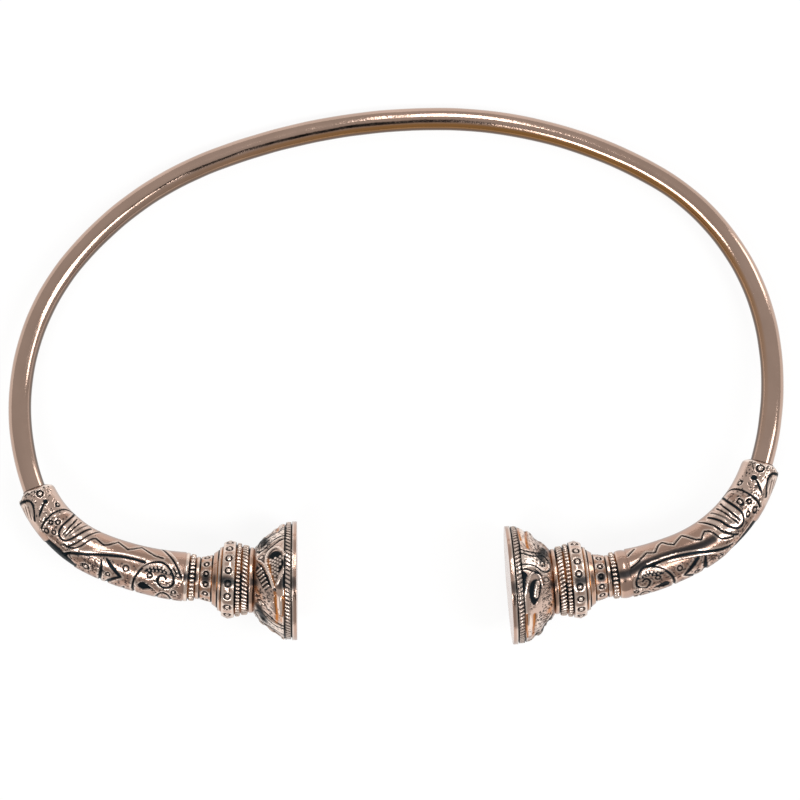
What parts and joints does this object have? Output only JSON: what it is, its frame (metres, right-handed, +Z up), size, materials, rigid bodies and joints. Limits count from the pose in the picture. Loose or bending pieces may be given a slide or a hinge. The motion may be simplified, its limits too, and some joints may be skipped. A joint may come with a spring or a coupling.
{
  "type": "bronze torc",
  "caption": "Open oval neck ring of plain round rod with cast terminals: curved engraved sleeves, banded collars and flared cups with flat end faces.",
  "frame": {"origin": "middle of the bottom of the bounding box, on the surface the torc lies on", "axes": "+X across the ring from the left terminal to the right one, -Y towards the open front, +Z up"},
  "size_m": [0.155, 0.1074, 0.0235],
  "materials": {
    "polished_bronze": "worn semi-polished bronze",
    "patinated_bronze": "cast bronze, bright on the raised parts, dark in the recesses"
  },
  "bodies": {
    "root": {"neck_ring": "polished_bronze", "left_terminal": "patinated_bronze", "right_terminal": "patinated_bronze"}
  },
  "joints": []
}
